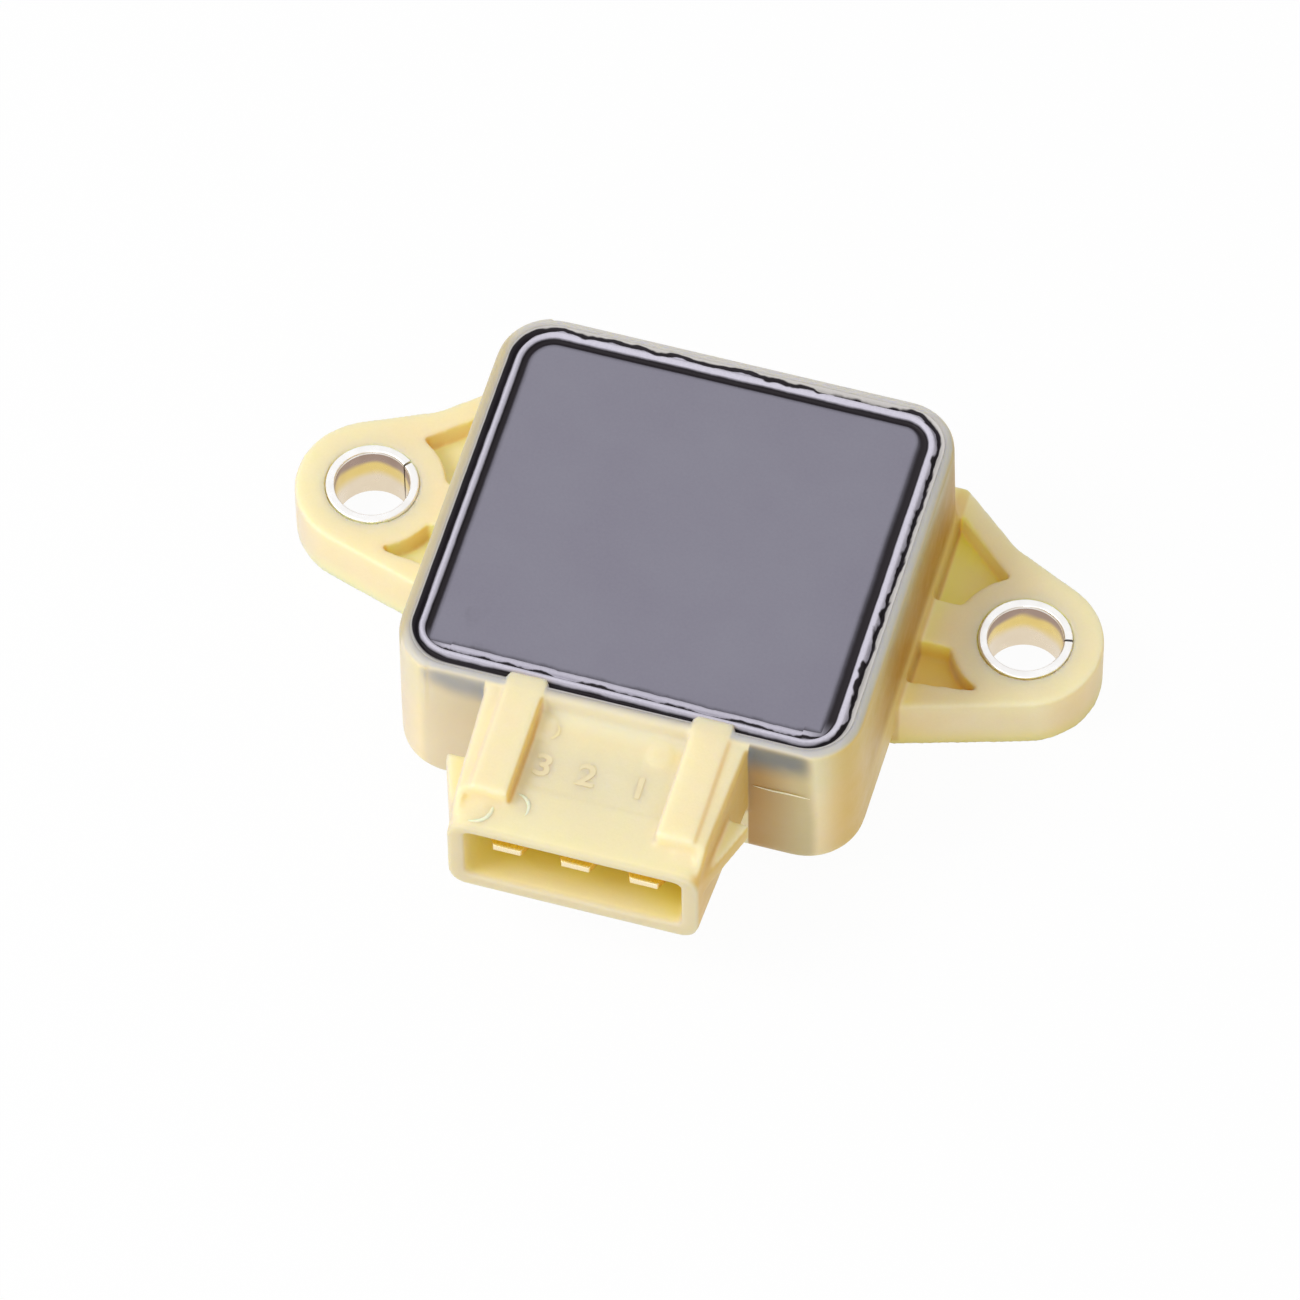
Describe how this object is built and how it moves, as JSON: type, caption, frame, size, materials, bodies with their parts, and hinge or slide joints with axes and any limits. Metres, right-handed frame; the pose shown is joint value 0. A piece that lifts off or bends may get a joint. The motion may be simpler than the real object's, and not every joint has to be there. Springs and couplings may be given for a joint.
{
  "type": "throttle position sensor",
  "caption": "Flat potted rotary position sensor with bolt ears, a socket shroud for a plug and a turning D-shaped drive.",
  "frame": {"origin": "where the rotor axis meets the mounting face, midway between the bolt holes", "axes": "+X towards the right ear seen from the potted back with the socket in front, +Y away from the socket, +Z from the mounting face to the potted back"},
  "size_m": [0.0602, 0.0431, 0.0148],
  "materials": {
    "housing_plastic": "cream glass-filled nylon, moulded",
    "potting_resin": "dark cast resin with a soft sheen",
    "cover_plastic": "moulded",
    "rotor_plastic": "moulded, smooth on the journal",
    "ceramic": "fired, fine grained",
    "washer_plastic": "smooth",
    "carbon_print": "printed, matt",
    "silver_print": "printed and fired",
    "terminal_brass": "stamped",
    "spring_bronze": "stamped",
    "tinned_pin": "tinned",
    "solder": "soldered, smooth",
    "sleeve_steel": "bright plated",
    "clip_steel": "spring steel",
    "seal_rubber": "moulded"
  },
  "bodies": {
    "sensor_body": {"housing": "housing_plastic", "potting_compound": "potting_resin", "inner_cover": "cover_plastic", "track_board": "ceramic", "resistive_track": "carbon_print", "collector_track": "carbon_print", "printed_conductors": "silver_print", "series_resistor": "carbon_print", "terminal_1": "terminal_brass", "terminal_2": "terminal_brass", "terminal_3": "terminal_brass", "contact_pin_1": "tinned_pin", "contact_pin_2": "tinned_pin", "contact_pin_3": "tinned_pin", "solder_joint_1": "solder", "solder_joint_2": "solder", "solder_joint_3": "solder", "mounting_sleeve_left": "sleeve_steel", "mounting_sleeve_right": "sleeve_steel", "flange_seal": "seal_rubber", "thrust_washer": "washer_plastic"},
    "rotor_group": {"rotor": "rotor_plastic", "wiper_spring": "spring_bronze", "shaft_clip": "clip_steel", "rotor_seal": "seal_rubber"}
  },
  "joints": [
    {"name": "rotor_turn", "type": "hinge", "parent": "sensor_body", "child": "rotor_group", "pos_m": [0, 0, 0], "axis": [0, 0, 1], "range_deg": [0, 95]}
  ]
}
